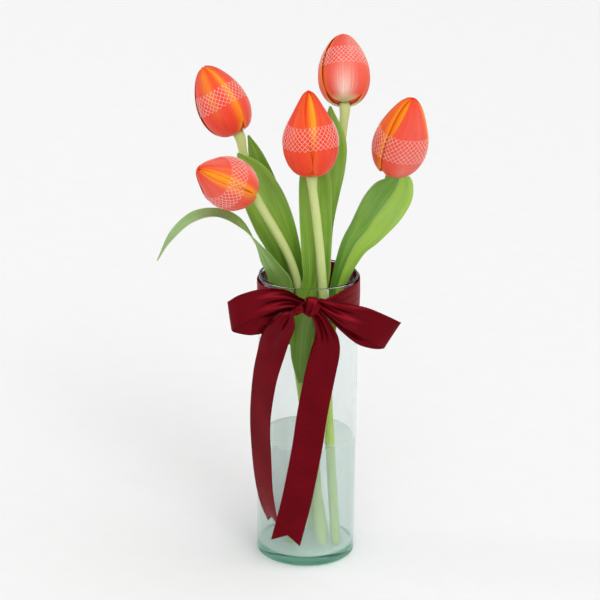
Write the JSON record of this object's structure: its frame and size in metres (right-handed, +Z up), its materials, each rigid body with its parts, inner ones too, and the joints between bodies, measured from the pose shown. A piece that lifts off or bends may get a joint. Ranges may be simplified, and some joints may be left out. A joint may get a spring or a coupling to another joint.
{
  "type": "tulips in a vase",
  "caption": "Cut orange tulips with broad green leaves standing in water in a clear cylinder vase, tied at the neck with a satin ribbon bow.",
  "frame": {"origin": "middle of the vase's flat underside, on the surface that it stands on", "axes": "+Z up along the vase; -Y towards the side with the bow; +X to the right as seen from that side"},
  "size_m": [0.2237, 0.1389, 0.4435],
  "materials": {
    "clear_glass": "clear, polished soda-lime glass",
    "water": "clear water",
    "stem_green": "waxy pale green flower stem",
    "leaf_green": "waxy green leaf with fine lengthwise veins",
    "petal_coral": "satin orange-red petal with a coral flame and yellow edges",
    "pistil_green": "matte pale green",
    "net_white": "fine white elastic netting",
    "burgundy_satin": "glossy burgundy satin ribbon"
  },
  "bodies": {
    "root": {"glass_vase": "clear_glass", "water": "water", "stem_left_high": "stem_green", "stem_left_low": "stem_green", "stem_centre": "stem_green", "stem_back": "stem_green", "stem_right": "stem_green", "petal_left_high_outer_1": "petal_coral", "petal_left_high_outer_2": "petal_coral", "petal_left_high_outer_3": "petal_coral", "petal_left_high_inner_1": "petal_coral", "petal_left_high_inner_2": "petal_coral", "petal_left_high_inner_3": "petal_coral", "pistil_left_high": "pistil_green", "bud_net_left_high": "net_white", "petal_left_low_outer_1": "petal_coral", "petal_left_low_outer_2": "petal_coral", "petal_left_low_outer_3": "petal_coral", "petal_left_low_inner_1": "petal_coral", "petal_left_low_inner_2": "petal_coral", "petal_left_low_inner_3": "petal_coral", "pistil_left_low": "pistil_green", "bud_net_left_low": "net_white", "petal_centre_outer_1": "petal_coral", "petal_centre_outer_2": "petal_coral", "petal_centre_outer_3": "petal_coral", "petal_centre_inner_1": "petal_coral", "petal_centre_inner_2": "petal_coral", "petal_centre_inner_3": "petal_coral", "pistil_centre": "pistil_green", "bud_net_centre": "net_white", "petal_back_outer_1": "petal_coral", "petal_back_outer_2": "petal_coral", "petal_back_outer_3": "petal_coral", "petal_back_inner_1": "petal_coral", "petal_back_inner_2": "petal_coral", "petal_back_inner_3": "petal_coral", "pistil_back": "pistil_green", "bud_net_back": "net_white", "petal_right_outer_1": "petal_coral", "petal_right_outer_2": "petal_coral", "petal_right_outer_3": "petal_coral", "petal_right_inner_1": "petal_coral", "petal_right_inner_2": "petal_coral", "petal_right_inner_3": "petal_coral", "pistil_right": "pistil_green", "bud_net_right": "net_white", "leaf_arching": "leaf_green", "leaf_left_broad": "leaf_green", "leaf_left_slim": "leaf_green", "leaf_centre": "leaf_green", "leaf_back_tall": "leaf_green", "leaf_right_broad": "leaf_green", "ribbon_band": "burgundy_satin", "ribbon_knot": "burgundy_satin", "ribbon_loop_left": "burgundy_satin", "ribbon_loop_right": "burgundy_satin", "ribbon_tail_left": "burgundy_satin", "ribbon_tail_right": "burgundy_satin"}
  },
  "joints": []
}
